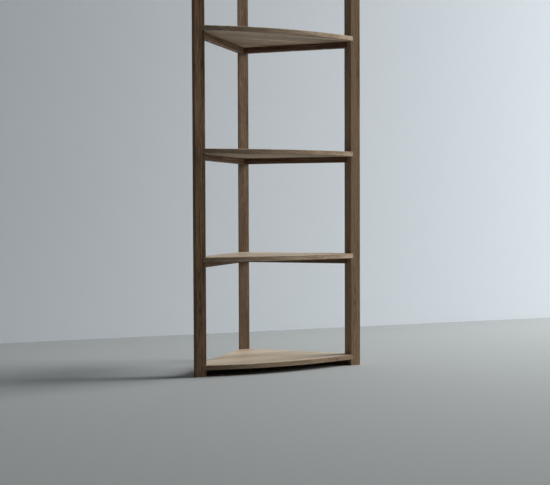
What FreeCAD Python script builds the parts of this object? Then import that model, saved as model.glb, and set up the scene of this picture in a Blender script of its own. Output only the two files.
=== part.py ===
import FreeCAD, Part
import math
import os

# Corner shelf unit in millimetres. +Z is up, -Y is the open front and the walls' corner is at +Y.
# The origin is on the floor, in the middle of the unit's width and depth.
# Three posts carry five bow-fronted boards, with a pair of rails under each board. The boards and
# rails are let into the posts, and countersunk wood screws hold them there.

doc = FreeCAD.newDocument("corner_shelf_unit")

# Driving dimensions
SIZES = {
    # Posts: the front pair stand square to the front, cut at 45 degrees where they meet the walls.
    "post_spacing": 460.0,
    "front_post_width": 32.0,
    "front_post_depth": 38.0,
    "front_post_outer_depth": 16.0,
    "rear_post_width": 35.0,
    "rear_post_side_depth": 3.0,
    "rear_post_nose_width": 10.0,
    "post_edge_round": 1.5,
    "post_head_rise": 32.0,
    # Boards: each pitch is the height from one board to the next.
    "bottom_rail_floor_gap": 1.5,
    "second_shelf_pitch": 300.0,
    "third_shelf_pitch": 300.0,
    "fourth_shelf_pitch": 338.0,
    "fifth_shelf_pitch": 338.0,
    "board_thickness": 14.0,
    "board_bow": 34.0,
    "board_edge_round": 1.5,
    "front_housing_depth": 8.0,
    "rear_housing_depth": 4.0,
    # Rails: one along each wall, under every board
    "rail_height": 16.5,
    "rail_thickness": 19.0,
    "rail_edge_round": 1.0,
    # Countersunk wood screws: the bite is what each one drives into the board.
    "screw_shank_diameter": 4.0,
    "screw_head_diameter": 8.0,
    "screw_head_depth": 2.4,
    "screw_tip_length": 4.0,
    "screw_recess_length": 4.4,
    "screw_recess_width": 1.1,
    "screw_recess_depth": 1.5,
    "rail_screw_bite": 9.0,
    "post_screw_bite": 16.0,
    # Blocks that trim a piece run past it by this much.
    "trim_overrun": 5.0,
}

# Places of the screws along a rail, as shares of half the post spacing
RAIL_SCREW_SHARES = (0.2, 0.5, 0.8)

SHELVES = ("bottom", "second", "third", "fourth", "fifth")
SIDES = ("left", "right")
UP = FreeCAD.Vector(0, 0, 1)

sheet = doc.addObject("Spreadsheet::Sheet", "Sizes")
for row, (alias, value) in enumerate(SIZES.items(), start=1):
    sheet.set(f"A{row}", alias)
    sheet.set(f"B{row}", str(value))
    sheet.setAlias(f"B{row}", alias)
doc.recompute()


def size(alias):
    """Reference to a driving dimension, for use in an expression."""
    return f"Sizes.{alias}"


# Places worked out from the driving dimensions, as expressions.
# A reach is a distance behind the front faces of the front posts.
HALF_SPACING = f"({size('post_spacing')} / 2)"
HALF_WIDTH = f"({HALF_SPACING} + {size('front_post_width')})"
HALF_BOARD = f"({HALF_SPACING} + {size('front_housing_depth')})"
CORNER_REACH = f"({HALF_WIDTH} + {size('front_post_outer_depth')})"
NOSE_REACH = f"({CORNER_REACH} - {size('rear_post_nose_width')} / 2)"
REAR_FACE_REACH = f"({CORNER_REACH} - {size('rear_post_width')} / 2 - {size('rear_post_side_depth')})"
REAR_HOUSING_REACH = f"({REAR_FACE_REACH} + {size('rear_housing_depth')})"

# The front faces lie so far forward that the origin is in the middle of the depth.
FRONT_FACE = f"(-({NOSE_REACH} - {size('board_bow')}) / 2)"
CORNER = f"({FRONT_FACE} + {CORNER_REACH})"

BOW_RADIUS = f"(({HALF_BOARD} ^ 2 + {size('board_bow')} ^ 2) / (2 * {size('board_bow')}))"

BOARD_BASE = {"bottom": f"({size('bottom_rail_floor_gap')} + {size('rail_height')})"}
for below, shelf in zip(SHELVES, SHELVES[1:]):
    BOARD_BASE[shelf] = f"({BOARD_BASE[below]} + {size(shelf + '_shelf_pitch')})"
RAIL_BASE = {shelf: f"({base} - {size('rail_height')})" for shelf, base in BOARD_BASE.items()}
POST_HEIGHT = f"({BOARD_BASE['fifth']} + {size('board_thickness')} + {size('post_head_rise')})"


def bind(item, bindings):
    """Binds properties of an object to expressions."""
    for path, expression in bindings.items():
        item.setExpression(path, expression)


def place(item, x="0", y="0", z="0", turn=FreeCAD.Rotation()):
    """Gives an object a fixed turn and a position that follows the driving dimensions."""
    item.Placement = FreeCAD.Placement(FreeCAD.Vector(), turn)
    bind(item, {"Placement.Base.x": x, "Placement.Base.y": y, "Placement.Base.z": z})
    return item


def box(name, length, width, height, x, y, z, turn=FreeCAD.Rotation()):
    """Box with its first corner at x, y, z."""
    item = doc.addObject("Part::Box", name)
    bind(item, {"Length": length, "Width": width, "Height": height})
    return place(item, x, y, z, turn)


def mirrored(side, distance):
    """Distance to the right, or the same distance to the left."""
    return distance if side == "right" else f"-{distance}"


def common(name, first, second):
    item = doc.addObject("Part::MultiCommon", name)
    item.Shapes = [first, second]
    return item


def union(name, shapes):
    item = doc.addObject("Part::MultiFuse", name)
    item.Shapes = shapes
    return item


def cut(name, base, tools):
    item = doc.addObject("Part::Cut", name)
    item.Base = base
    item.Tool = union(f"{name}_tools", tools)
    return item


def rounded(name, base, wanted, radius_alias):
    """Rounds the edges of an object that the test 'wanted' picks."""
    radius = sheet.get(radius_alias)
    item = doc.addObject("Part::Fillet", name)
    item.Base = base
    item.Edges = [(i, radius, radius) for i, edge in enumerate(base.Shape.Edges, start=1) if wanted(edge)]
    return item


def between_walls(name, height, z):
    """Square block that fills the corner of the walls and reaches past the front of the unit."""
    reach = f"2 * {CORNER_REACH}"
    facing_front = FreeCAD.Rotation(UP, 225)
    return box(name, reach, reach, height, "0", CORNER, z, facing_front)


# Boards: a disc of the bow's radius, trimmed by the housings, the rear post and the walls.
def make_board(shelf):
    base, thick, bow = BOARD_BASE[shelf], size("board_thickness"), size("board_bow")
    disc = doc.addObject("Part::Cylinder", f"{shelf}_board_disc")
    bind(disc, {"Radius": BOW_RADIUS, "Height": thick})
    place(disc, y=f"{FRONT_FACE} + {BOW_RADIUS} - {bow}", z=base)
    limits = box(
        f"{shelf}_board_limits",
        f"2 * {HALF_BOARD}",
        f"{REAR_HOUSING_REACH} + {bow} + {size('trim_overrun')}",
        thick,
        f"-{HALF_BOARD}",
        f"{FRONT_FACE} - {bow} - {size('trim_overrun')}",
        base,
    )
    slab = common(f"{shelf}_board_slab", disc, limits)
    blank = common(f"{shelf}_board_blank", slab, between_walls(f"{shelf}_board_walls", thick, base))
    doc.recompute()

    def is_bow_edge(edge):
        return isinstance(edge.Curve, Part.Circle)

    return rounded(f"{shelf}_board_rounded", blank, is_bow_edge, "board_edge_round")


# Rails: a straight bar flat on the wall. It ends in the front post's housing and, at the rear post,
# in the housing there and a mitre against its partner.
def make_rail(shelf, side):
    name = f"{shelf}_{side}_rail"
    base, tall, thick = RAIL_BASE[shelf], size("rail_height"), size("rail_thickness")
    # The right bar's width runs out to its wall and the left bar's runs in from its wall.
    inset = f"{thick} / sqrt(2)" if side == "right" else "0"
    along_wall = FreeCAD.Rotation(UP, -45 if side == "right" else -135)
    start = f"-{inset}", f"{CORNER} - {inset}", base
    bar = box(f"{name}_bar", f"2 * {CORNER_REACH}", thick, tall, *start, along_wall)
    limits = box(
        f"{name}_limits",
        HALF_BOARD,
        f"{REAR_HOUSING_REACH} + {size('trim_overrun')}",
        tall,
        "0" if side == "right" else f"-{HALF_BOARD}",
        f"{FRONT_FACE} - {size('trim_overrun')}",
        base,
    )
    blank = common(f"{name}_blank", bar, limits)
    doc.recompute()
    lowest = min(vertex.Z for vertex in blank.Shape.Vertexes)

    def is_lower_arris(edge):
        """Long lower edge, level and along the wall. The upper ones lie under the board and stay square."""
        first, last = (vertex.Point for vertex in edge.Vertexes)
        step = last - first
        is_lowest = math.isclose(first.z, lowest) and math.isclose(last.z, lowest)
        return is_lowest and math.isclose(abs(step.x), abs(step.y))

    return rounded(f"{name}_rounded", blank, is_lower_arris, "rail_edge_round")


# Screws: a countersunk head, a shank and a point along +Z, with the head's flat at the origin.
def make_screw(name, length, x, y, z, turn=FreeCAD.Rotation()):
    shank_radius, head_radius = f"{size('screw_shank_diameter')} / 2", f"{size('screw_head_diameter')} / 2"
    head_depth = size("screw_head_depth")
    tip_start = f"({length} - {size('screw_tip_length')})"
    head = doc.addObject("Part::Cone", f"{name}_head")
    bind(head, {"Radius1": head_radius, "Radius2": shank_radius, "Height": head_depth})
    shank = doc.addObject("Part::Cylinder", f"{name}_shank")
    bind(shank, {"Radius": shank_radius, "Height": f"{tip_start} - {head_depth}"})
    place(shank, z=head_depth)
    tip = doc.addObject("Part::Cone", f"{name}_tip")
    bind(tip, {"Radius1": shank_radius, "Radius2": "0", "Height": size("screw_tip_length")})
    place(tip, z=tip_start)
    return place(union(name, [head, shank, tip]), x, y, z, turn)


def with_recess(screw):
    """The finished screw, with a cross for the driver in its head. The plain one drills the holes."""
    long, narrow = size("screw_recess_length"), size("screw_recess_width")
    slots = []
    for way, length, width in (("across", long, narrow), ("along", narrow, long)):
        start = f"-{length} / 2", f"-{width} / 2", "0"
        slots.append(box(f"{screw.Name}_slot_{way}", length, width, size("screw_recess_depth"), *start))
    recess = union(f"{screw.Name}_recess", slots)
    recess.setExpression("Placement", f"{screw.Name}.Placement")
    item = doc.addObject("Part::Cut", f"{screw.Name}_finished")
    item.Base = screw
    item.Tool = recess
    return item


# Rail screws run up through the middle of a rail into the board.
def make_rail_screws(shelf, side):
    length = f"({size('rail_height')} + {size('rail_screw_bite')})"
    screws = []
    for number, share in enumerate(RAIL_SCREW_SHARES, start=1):
        out = f"({share} * {HALF_SPACING})"
        y = f"{CORNER} - {size('rail_thickness')} / sqrt(2) - {out}"
        name = f"{shelf}_{side}_rail_screw_{number}"
        screws.append(make_screw(name, length, mirrored(side, out), y, RAIL_BASE[shelf]))
    return screws


# Post screws run from the faces that the walls hide, the 45 degree cuts and the nose, into the board.
CUT_REACH = f"({size('front_post_depth')} - {size('front_post_outer_depth')})"
CUT_X = f"({HALF_WIDTH} - {CUT_REACH} / 2)"
CUT_Y = f"({FRONT_FACE} + {size('front_post_depth')} - {CUT_REACH} / 2)"
POST_SCREW_LENGTH = f"(({CUT_X} - {HALF_BOARD}) * sqrt(2) + {size('post_screw_bite')})"


def make_post_screw(shelf, post):
    heading_x = {"left": 1, "right": -1, "rear": 0}[post]
    turn = FreeCAD.Rotation(UP, FreeCAD.Vector(heading_x, -1, 0))
    x = "0" if post == "rear" else mirrored(post, CUT_X)
    y = f"{FRONT_FACE} + {NOSE_REACH}" if post == "rear" else CUT_Y
    z = f"{BOARD_BASE[shelf]} + {size('board_thickness')} / 2"
    return make_screw(f"{shelf}_{post}_post_screw", POST_SCREW_LENGTH, x, y, z, turn)


# Posts: plain bars trimmed by the walls, with their arrises eased, all but those at the floor.
def make_post(name, width, depth, x, y):
    bar = box(f"{name}_bar", width, depth, POST_HEIGHT, x, y, "0")
    blank = common(f"{name}_blank", bar, between_walls(f"{name}_walls", POST_HEIGHT, "0"))
    doc.recompute()
    middle = blank.Shape.BoundBox.Center.z

    def is_arris(edge):
        """Upright edge or edge of the head. Those reach into the upper half."""
        return any(vertex.Z > middle for vertex in edge.Vertexes)

    return rounded(f"{name}_rounded", blank, is_arris, "post_edge_round")


front_sizes = size("front_post_width"), size("front_post_depth")
posts = {
    "left": make_post("front_left_post", *front_sizes, f"-{HALF_WIDTH}", FRONT_FACE),
    "right": make_post("front_right_post", *front_sizes, HALF_SPACING, FRONT_FACE),
    "rear": make_post(
        "rear_post",
        size("rear_post_width"),
        f"{NOSE_REACH} - {REAR_FACE_REACH}",
        f"-{size('rear_post_width')} / 2",
        f"{FRONT_FACE} + {REAR_FACE_REACH}",
    ),
}
boards = {shelf: make_board(shelf) for shelf in SHELVES}
rails = {(shelf, side): make_rail(shelf, side) for shelf in SHELVES for side in SIDES}
rail_screws = {(shelf, side): make_rail_screws(shelf, side) for shelf in SHELVES for side in SIDES}
post_screws = {(shelf, post): make_post_screw(shelf, post) for shelf in SHELVES for post in posts}

# Finished pieces: the screw holes are drilled and the housings are cut to what sits in them.
nodes = {}
for shelf in SHELVES:
    screws_in_rails = rail_screws[shelf, "left"] + rail_screws[shelf, "right"]
    screws_in_posts = [post_screws[shelf, post] for post in posts]
    nodes[f"{shelf}_shelf"] = cut(f"{shelf}_shelf", boards[shelf], screws_in_rails + screws_in_posts)
    for side in SIDES:
        name = f"{shelf}_{side}_rail"
        nodes[name] = cut(name, rails[shelf, side], rail_screws[shelf, side])
    for name, screws in (("rail_screws", screws_in_rails), ("post_screws", screws_in_posts)):
        group = doc.addObject("Part::Compound", f"{shelf}_{name}")
        group.Links = [with_recess(screw) for screw in screws]
        nodes[f"{shelf}_{name}"] = group

for post, blank in posts.items():
    name = "rear_post" if post == "rear" else f"front_{post}_post"
    touching = SIDES if post == "rear" else (post,)
    housed = list(boards.values()) + [rails[shelf, side] for shelf in SHELVES for side in touching]
    nodes[name] = cut(name, blank, housed + [post_screws[shelf, post] for shelf in SHELVES])

doc.recompute()

for item in doc.Objects:
    if "Invalid" in item.State or "Error" in item.State:
        raise RuntimeError(f"{item.Name} did not build: {item.State}")
for name, item in nodes.items():
    item.Label = name
    if item.Shape.isNull() or not item.Shape.isValid():
        raise RuntimeError(f"{name} has no valid shape")

os.makedirs("parts", exist_ok=True)
for name, item in nodes.items():
    item.Shape.exportStep(f"parts/{name}.step")
    print(name, len(item.Shape.Solids), "solids", round(item.Shape.Volume), "cubic mm")
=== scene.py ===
import math

import bpy
from mathutils import Matrix, Vector


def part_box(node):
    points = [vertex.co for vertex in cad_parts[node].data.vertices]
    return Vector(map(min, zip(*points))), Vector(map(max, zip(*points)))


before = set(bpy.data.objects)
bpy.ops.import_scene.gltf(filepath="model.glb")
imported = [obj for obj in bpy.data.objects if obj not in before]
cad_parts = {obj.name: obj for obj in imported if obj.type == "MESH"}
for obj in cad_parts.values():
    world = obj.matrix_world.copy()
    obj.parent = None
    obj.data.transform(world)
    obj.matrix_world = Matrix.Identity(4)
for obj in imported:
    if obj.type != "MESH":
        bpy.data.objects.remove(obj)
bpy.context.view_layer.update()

bpy.ops.object.select_all(action="DESELECT")


# Front posts: two straight bars of an open-pored hardwood, planed, eased along their arrises and oiled
# dark. Each is cut at 45 degrees where it lies against its wall, and the boards and rails are let into it.
def feed(tree, socket, value):
    """Links an input to another node's output, or sets it to a plain value."""
    if isinstance(value, bpy.types.NodeSocket):
        tree.links.new(value, socket)
    else:
        socket.default_value = value


def add_node(tree, kind, inputs, **settings):
    item = tree.nodes.new(kind)
    for name, value in settings.items():
        setattr(item, name, value)
    for key, value in inputs.items():
        feed(tree, item.inputs[key], value)
    return item


def calculate(tree, operation, first, second=0.0):
    return add_node(tree, "ShaderNodeMath", {0: first, 1: second}, operation=operation).outputs[0]


def scale_and_add(tree, vector, scale, offset):
    inputs = {0: vector, 1: scale, 2: offset}
    return add_node(tree, "ShaderNodeVectorMath", inputs, operation="MULTIPLY_ADD").outputs["Vector"]


def step_between(tree, value, low, high):
    """Smooth step from 0 at low to 1 at high."""
    inputs = {"Value": value, "From Min": low, "From Max": high}
    return add_node(tree, "ShaderNodeMapRange", inputs, interpolation_type="SMOOTHSTEP").outputs["Result"]


def blend_colours(tree, share, first, second):
    mix = add_node(tree, "ShaderNodeMix", {}, data_type="RGBA")
    sockets = {socket.identifier: socket for socket in mix.inputs}
    for identifier, value in (("Factor_Float", share), ("A_Color", first), ("B_Color", second)):
        feed(tree, sockets[identifier], value)
    return next(socket for socket in mix.outputs if socket.identifier == "Result_Color")


def drawn_out_noise(tree, vector, along, across, detail):
    """Noise whose cells are drawn out along the grain. Along and across are its cells per metre."""
    cells = (along, across, across)
    stretched = add_node(tree, "ShaderNodeVectorMath", {0: vector, 1: cells}, operation="MULTIPLY")
    inputs = {"Vector": stretched.outputs["Vector"], "Scale": 1.0, "Detail": detail, "Roughness": 0.55}
    return add_node(tree, "ShaderNodeTexNoise", inputs).outputs


def weighted(tree, value, weight):
    """A value from 0 to 1, taken about its middle and times a weight."""
    return calculate(tree, "MULTIPLY", calculate(tree, "SUBTRACT", value, 0.5), weight)


def start_group(name, inputs, outputs):
    """Shader node group with the sockets named, and the outputs of its own input node."""
    tree = bpy.data.node_groups.new(name, "ShaderNodeTree")
    for direction, sockets in (("INPUT", inputs), ("OUTPUT", outputs)):
        for socket, kind in sockets.items():
            tree.interface.new_socket(socket, in_out=direction, socket_type=f"NodeSocket{kind}")
    return tree, tree.nodes.new("NodeGroupInput").outputs


def make_grain():
    """Solid wood with its grain along X: growth rings round a pith, streaks, fibres and open pores."""
    tree, given = start_group(
        "oiled_wood_grain",
        {
            "Vector": "Vector", "Dark": "Color", "Middle": "Color", "Light": "Color",
            "Tone": "Float", "Figure": "Float", "Finish": "Float", "End grain": "Float",
        },
        {"Color": "Color", "Roughness": "Float", "Height": "Float"},
    )
    vector = given["Vector"]

    # The rings wander slowly along the length, and are uneven in width.
    pith, wander_size = (0.0, 0.052, 0.038), (0.0, 0.030, 0.030)
    ring_width, unevenness = 0.0034, 0.012
    wander = drawn_out_noise(tree, vector, along=1.8, across=8.0, detail=2.0)["Color"]
    moved_pith = scale_and_add(tree, wander, wander_size, pith)
    section = scale_and_add(tree, vector, (0.0, 1.0, 1.0), moved_pith)
    radius = add_node(tree, "ShaderNodeVectorMath", {0: section}, operation="LENGTH").outputs["Value"]
    swell = drawn_out_noise(tree, vector, along=2.5, across=70.0, detail=2.0)["Fac"]
    uneven_radius = calculate(tree, "ADD", radius, weighted(tree, swell, unevenness))
    rings = calculate(tree, "DIVIDE", uneven_radius, ring_width)
    ring = calculate(tree, "FRACT", rings)

    # The early wood of a ring is dark, because its pores take up the oil, and fades here and there.
    late_begins = step_between(tree, ring, 0.05, 0.55)
    late_ends = step_between(tree, ring, 0.88, 1.0)
    late = calculate(tree, "SUBTRACT", late_begins, late_ends)
    fading = drawn_out_noise(tree, vector, along=1.4, across=26.0, detail=2.0)["Fac"]
    not_faded = step_between(tree, fading, 0.34, 0.66)
    early = calculate(tree, "MULTIPLY", calculate(tree, "SUBTRACT", 1.0, late), not_faded)

    broad = drawn_out_noise(tree, vector, along=2.6, across=34.0, detail=3.0)["Fac"]
    streak = drawn_out_noise(tree, vector, along=7.0, across=260.0, detail=4.0)["Fac"]
    fleck = drawn_out_noise(tree, vector, along=45.0, across=340.0, detail=2.0)["Fac"]
    fibre = drawn_out_noise(tree, vector, along=40.0, across=2200.0, detail=2.0)["Fac"]
    vessel = drawn_out_noise(tree, vector, along=80.0, across=2600.0, detail=1.0)["Fac"]
    fewest_pores = 0.3
    open_pore = step_between(tree, vessel, 0.55, 0.68)
    pore = calculate(tree, "MULTIPLY", open_pore, calculate(tree, "MAXIMUM", early, fewest_pores))

    # The colour runs from dark over middle to light, and is dark in the pores and on cut ends.
    span, pore_stain, end_stain = 0.55, 0.6, 0.78
    figure = weighted(tree, broad, 1.3)
    for part, weight in ((streak, 0.8), (fleck, 0.6), (fibre, 0.5), (early, -0.3)):
        figure = calculate(tree, "ADD", figure, weighted(tree, part, weight))
    value = calculate(tree, "ADD", given["Tone"], calculate(tree, "MULTIPLY", figure, given["Figure"]))
    lower = blend_colours(tree, step_between(tree, value, -span, 0.0), given["Dark"], given["Middle"])
    colour = blend_colours(tree, step_between(tree, value, 0.0, span), lower, given["Light"])
    for mask, stain in ((pore, pore_stain), (given["End grain"], end_stain)):
        colour = blend_colours(tree, calculate(tree, "MULTIPLY", mask, stain), colour, given["Dark"])

    streak_roughness, pore_roughness, end_roughness = 0.16, 0.18, 0.2
    rough = calculate(tree, "ADD", given["Finish"], weighted(tree, streak, streak_roughness))
    for mask, more in ((pore, pore_roughness), (given["End grain"], end_roughness)):
        rough = calculate(tree, "ADD", rough, calculate(tree, "MULTIPLY", mask, more))

    fibre_relief = calculate(tree, "MULTIPLY", fibre, 0.3)
    late_relief = calculate(tree, "MULTIPLY", late, 0.2)
    height = calculate(tree, "SUBTRACT", calculate(tree, "ADD", fibre_relief, late_relief), pore)
    add_node(tree, "NodeGroupOutput", {"Color": colour, "Roughness": rough, "Height": height})
    return tree


oiled_grain = make_grain()


def on_screen(red, green, blue):
    """Linear colour from the 0 to 255 values that a screen shows it with."""
    shares = [value / 255 for value in (red, green, blue)]
    return (*[s / 12.92 if s <= 0.04045 else ((s + 0.055) / 1.055) ** 2.4 for s in shares], 1.0)


def oiled_wood(node, turn, tones, figure, roughness, tone=0.0, lay=None, lit_top_tones=None, wax=0.0):
    """Oiled wood for one CAD node, its pattern centred on the node and turned so that its grain runs along X.

    Figure is the strength of the grain's contrast. Lay is a function that splits the pattern into staves.
    Faces that look up may have paler tones, as painted light from above, and a coat of wax.
    """
    material = bpy.data.materials.new(f"oiled_{node}")
    material.use_nodes = True
    tree = material.node_tree
    low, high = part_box(node)
    place = add_node(tree, "ShaderNodeTexCoord", {}).outputs
    inputs = {"Vector": place["Object"], "Location": (low + high) / 2, "Rotation": turn}
    vector = add_node(tree, "ShaderNodeMapping", inputs, vector_type="TEXTURE").outputs["Vector"]
    inputs = {"Vector": place["Normal"], "Rotation": turn}
    facing = add_node(tree, "ShaderNodeMapping", inputs, vector_type="TEXTURE").outputs["Vector"]
    along = add_node(tree, "ShaderNodeSeparateXYZ", {"Vector": facing}).outputs["X"]
    end_grain = step_between(tree, calculate(tree, "ABSOLUTE", along), 0.05, 0.6)
    if lay:
        vector, tone = lay(tree, vector)
    coat = {}
    # Faces that look up get paler tones: painted light from above. The coat of wax is real and follows the
    # same mask.
    if lit_top_tones:
        up = add_node(tree, "ShaderNodeSeparateXYZ", {"Vector": place["Normal"]}).outputs["Z"]
        top = step_between(tree, up, 0.7, 0.95)
        tones = [blend_colours(tree, top, plain, pale) for plain, pale in zip(tones, lit_top_tones)]
        coat = {"Coat Weight": calculate(tree, "MULTIPLY", top, wax), "Coat Roughness": 0.42}
    dark, middle, light = tones
    inputs = {
        "Vector": vector, "Dark": dark, "Middle": middle, "Light": light,
        "Tone": tone, "Figure": figure, "Finish": roughness, "End grain": end_grain,
    }
    pattern = add_node(tree, "ShaderNodeGroup", inputs, node_tree=oiled_grain).outputs
    inputs = {"Height": pattern["Height"], "Strength": 0.25, "Distance": 0.0003}
    relief = add_node(tree, "ShaderNodeBump", inputs).outputs["Normal"]
    finish = {"Base Color": pattern["Color"], "Roughness": pattern["Roughness"], "Normal": relief}
    shader = tree.nodes["Principled BSDF"]
    for name, value in {**finish, "Specular IOR Level": 0.25, **coat}.items():
        feed(tree, shader.inputs[name], value)
    return material


def finish_node(node, material):
    """Gives a CAD node its finish."""
    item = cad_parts[node]
    item.data.materials.clear()
    item.data.materials.append(material)


upright = (0.0, -math.pi / 2, 0.0)
post_browns = on_screen(74, 52, 38), on_screen(119, 94, 71), on_screen(152, 126, 101)
post_figure, post_finish = 1.5, 0.68
for post, tone in (("front_left_post", -0.25), ("front_right_post", 0.32)):
    finish_node(post, oiled_wood(post, upright, post_browns, post_figure, post_finish, tone))


# Rear post: a thin bar of the same wood, pointed to fit the corner of the walls.
# The boards and the mitred ends of the rails are let into its front face.
rear_browns = on_screen(75, 58, 46), on_screen(118, 98, 80), on_screen(151, 130, 109)
rear_tone = -0.04
finish_node("rear_post", oiled_wood("rear_post", upright, rear_browns, post_figure, post_finish, rear_tone))


# Boards: five bow-fronted shelves glued up from staves of the same wood that run from side to side.
# Their ends are let into the posts, their straight sides rest on the rails, and their tops are waxed.
def make_staves():
    """Splits a board into staves, each with its own tone and cut from another place in the log."""
    tree, given = start_group(
        "glued_staves",
        {"Vector": "Vector", "First": "Float", "Width": "Float", "Board": "Float", "Front tone": "Float"},
        {"Vector": "Vector", "Tone": "Float"},
    )
    log_size, tone_spread, glue_tone = (4.0, 0.05, 0.03), 0.34, -0.4
    parts = add_node(tree, "ShaderNodeSeparateXYZ", {"Vector": given["Vector"]}).outputs
    from_first = calculate(tree, "SUBTRACT", parts["Y"], given["First"])
    staves = calculate(tree, "DIVIDE", from_first, given["Width"])
    number = calculate(tree, "FLOOR", staves)
    across = calculate(tree, "SUBTRACT", calculate(tree, "FRACT", staves), 0.5)

    pick = add_node(tree, "ShaderNodeCombineXYZ", {"X": number, "Y": given["Board"]}).outputs["Vector"]
    chance = add_node(tree, "ShaderNodeTexWhiteNoise", {"Vector": pick}, noise_dimensions="2D").outputs
    from_middle = calculate(tree, "MULTIPLY", across, given["Width"])
    inputs = {"X": parts["X"], "Y": from_middle, "Z": parts["Z"]}
    in_stave = add_node(tree, "ShaderNodeCombineXYZ", inputs).outputs["Vector"]
    log_place = scale_and_add(tree, chance["Color"], log_size, in_stave)

    # The front stave has a tone that is given, and the others one by chance. The glue lines are dark.
    front = calculate(tree, "LESS_THAN", number, 0.5)
    behind = calculate(tree, "SUBTRACT", 1.0, front)
    own_tone = calculate(tree, "MULTIPLY", behind, weighted(tree, chance["Value"], tone_spread))
    tone = calculate(tree, "ADD", own_tone, calculate(tree, "MULTIPLY", front, given["Front tone"]))
    joint = step_between(tree, calculate(tree, "ABSOLUTE", across), 0.494, 0.499)
    tone = calculate(tree, "ADD", tone, calculate(tree, "MULTIPLY", joint, glue_tone))
    add_node(tree, "NodeGroupOutput", {"Vector": log_place, "Tone": tone})
    return tree


glued_staves = make_staves()
stave_width, first_cut, next_cut = 0.062, 0.05, 0.08
log_tilt = 0.05
from_side_to_side = (0.0, log_tilt, 0.0)
board_browns = on_screen(104, 84, 66), on_screen(155, 133, 110), on_screen(204, 183, 158)
# Paler tones for the tops of the boards: painted light from above.
lit_top_browns = on_screen(155, 132, 108), on_screen(191, 170, 143), on_screen(217, 198, 173)
board_figure, board_finish, board_wax = 1.0, 0.62, 0.4
front_tones = {"bottom": -0.16, "second": 0.08, "third": 0.08, "fourth": 0.24, "fifth": 0.06}
shelves = tuple(front_tones)
for number, shelf in enumerate(shelves):
    board = f"{shelf}_shelf"
    low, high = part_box(board)
    # The front stave is cut to the bow by a little more on each board, and the first joint stays behind it.
    first_stave = (low.y - high.y) / 2 - stave_width * (first_cut + next_cut * number)

    def lay_staves(tree, vector):
        inputs = {
            "Vector": vector, "First": first_stave, "Width": stave_width,
            "Board": float(number), "Front tone": front_tones[shelf],
        }
        staves = add_node(tree, "ShaderNodeGroup", inputs, node_tree=glued_staves).outputs
        return staves["Vector"], staves["Tone"]

    finish = oiled_wood(
        board, from_side_to_side, board_browns, board_figure, board_finish,
        lay=lay_staves, lit_top_tones=lit_top_browns, wax=board_wax,
    )
    finish_node(board, finish)


# Rails: a pair of low bars under each board, flat along the walls and screwed up into it.
# They end in the front posts' housings and meet in a mitre at the rear post.
rail_browns = on_screen(70, 50, 38), on_screen(112, 87, 67), on_screen(144, 117, 93)
rail_figure, rail_finish = 1.5, 0.7
for shelf in shelves:
    # The right rails get a lower tone than the left ones: painted shade, as their inner faces look away from
    # the window.
    for side, along_wall, tone in (("left", math.pi / 4, 0.05), ("right", -math.pi / 4, -0.25)):
        rail = f"{shelf}_{side}_rail"
        turn = (0.0, 0.0, along_wall)
        finish_node(rail, oiled_wood(rail, turn, rail_browns, rail_figure, rail_finish, tone))


# Screws: countersunk wood screws of yellow zinc plated steel, turned and pressed, with a cross recess.
# Those in the rails go up into the boards, and those in the posts go in from the faces at the walls.
def make_zinc_steel():
    dull, bright = (0.46, 0.38, 0.22, 1.0), (0.62, 0.55, 0.40, 1.0)
    roughness, roughness_spread = 0.36, 0.3
    material = bpy.data.materials.new("yellow_zinc_steel")
    material.use_nodes = True
    tree = material.node_tree
    place = add_node(tree, "ShaderNodeTexCoord", {}).outputs["Object"]
    inputs = {"Vector": place, "Scale": 420.0, "Detail": 3.0}
    cloud = add_node(tree, "ShaderNodeTexNoise", inputs).outputs["Fac"]
    plate = blend_colours(tree, step_between(tree, cloud, 0.35, 0.65), dull, bright)
    rough = calculate(tree, "ADD", roughness, weighted(tree, cloud, roughness_spread))
    shader = tree.nodes["Principled BSDF"]
    for name, value in {"Base Color": plate, "Roughness": rough, "Metallic": 1.0}.items():
        feed(tree, shader.inputs[name], value)
    return material


zinc_steel = make_zinc_steel()
for shelf in shelves:
    finish_node(f"{shelf}_rail_screws", zinc_steel)
    finish_node(f"{shelf}_post_screws", zinc_steel)


# Floor and wall of the room, which aren't part of the unit: plain, pale and matt. Seen from behind or from
# below they vanish, so that the unit shows from every side, and some way off they fade into the pale room.
fade_start, fade_end = 2.7, 4.8


def stage_finish(name, colour):
    material = bpy.data.materials.new(name)
    material.use_nodes = True
    tree = material.node_tree
    shader = tree.nodes["Principled BSDF"]
    for socket, value in {"Base Color": colour, "Roughness": 1.0, "Specular IOR Level": 0.0}.items():
        feed(tree, shader.inputs[socket], value)
    place = add_node(tree, "ShaderNodeTexCoord", {}).outputs["Object"]
    distance = add_node(tree, "ShaderNodeVectorMath", {0: place}, operation="LENGTH").outputs["Value"]
    behind = add_node(tree, "ShaderNodeNewGeometry", {}).outputs["Backfacing"]
    gone = calculate(tree, "MAXIMUM", behind, step_between(tree, distance, fade_start, fade_end))
    clear = add_node(tree, "ShaderNodeBsdfTransparent", {}).outputs["BSDF"]
    shown = add_node(tree, "ShaderNodeMixShader", {0: gone, 1: shader.outputs["BSDF"], 2: clear})
    tree.links.new(shown.outputs["Shader"], tree.nodes["Material Output"].inputs["Surface"])
    return material


bpy.ops.mesh.primitive_plane_add(size=2 * fade_end)
floor = bpy.context.object
floor.name = "floor"
floor.data.materials.append(stage_finish("pale_floor", on_screen(174, 176, 174)))

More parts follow.
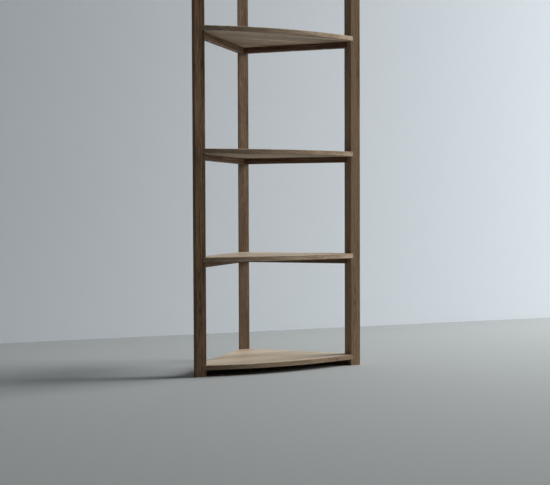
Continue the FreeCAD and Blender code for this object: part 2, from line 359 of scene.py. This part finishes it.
wall_height, wall_length = fade_end, 2 * fade_end
wall_turn = math.radians(-5.2)
wall_foot = Vector((0.419, 0.787, 0.0))
bpy.ops.mesh.primitive_plane_add(size=1.0)
wall = bpy.context.object
wall.name = "wall"
bpy.ops.transform.resize(value=(wall_length, wall_height, 1.0))
bpy.ops.object.transform_apply()
stand_up = Matrix.Rotation(wall_turn, 4, "Z") @ Matrix.Rotation(math.pi / 2, 4, "X")
wall.data.transform(Matrix.Translation(wall_foot + Vector((0, 0, wall_height / 2))) @ stand_up)
wall.data.materials.append(stage_finish("pale_wall", on_screen(244, 249, 253)))


# Light: a tall window close to the wall on the right, which shines in a limited cone. Hardly any light comes
# from the rest of the room, which looks pale grey to the camera and in reflections.
window_bearing, window_rise, window_distance = math.radians(81), math.radians(18), 6.0
window_width, window_height = 3.0, 3.4
lit_point = Vector((0.0, 0.0, 0.6))
towards_window = Vector((
    math.cos(window_rise) * math.sin(window_bearing),
    -math.cos(window_rise) * math.cos(window_bearing),
    math.sin(window_rise),
))
lamp = bpy.data.lights.new("window", "AREA")
lamp.shape = "RECTANGLE"
lamp.size, lamp.size_y = window_width, window_height
lamp.spread = math.radians(100)
lamp.energy = 244.0
lamp.color = (0.97, 1.0, 1.03)
window = bpy.data.objects.new("window", lamp)
bpy.context.collection.objects.link(window)
window.location = lit_point + window_distance * towards_window
window.rotation_euler = (-towards_window).to_track_quat("-Z", "Y").to_euler()
# Its mirror image would turn the tops of the boards white, seen against the light.
window.visible_glossy = False

dim_room, pale_room = (0.01, 0.009, 0.008, 1.0), (0.36, 0.37, 0.375, 1.0)
world = bpy.data.worlds.new("room")
world.use_nodes = True
rays = add_node(world.node_tree, "ShaderNodeLightPath", {}).outputs
seen = rays["Is Camera Ray"]
for ray in ("Is Glossy Ray", "Is Transmission Ray"):
    seen = calculate(world.node_tree, "MAXIMUM", seen, rays[ray])
room = world.node_tree.nodes["Background"]
room.inputs["Strength"].default_value = 1.0
feed(world.node_tree, room.inputs["Color"], blend_colours(world.node_tree, seen, dim_room, pale_room))
bpy.context.scene.world = world


# Camera: it stands low, in front of the unit and to its left, at the place from which the photograph was
# taken. Its frame cuts off the top of the unit, as the photograph does.
camera = bpy.data.cameras.new("camera")
camera.sensor_width, camera.lens = 36.0, 69.63
eye = bpy.data.objects.new("camera", camera)
bpy.context.collection.objects.link(eye)
eye.location = (-1.33296, -2.84888, 0.47037)
heading, tip, roll = math.radians(-25.720), math.radians(90 - 1.918), math.radians(-0.213)
eye.rotation_euler = (
    Matrix.Rotation(heading, 3, "Z") @ Matrix.Rotation(tip, 3, "X") @ Matrix.Rotation(roll, 3, "Z")
).to_euler()
bpy.context.scene.camera = eye
bpy.context.scene.view_settings.view_transform = "Standard"
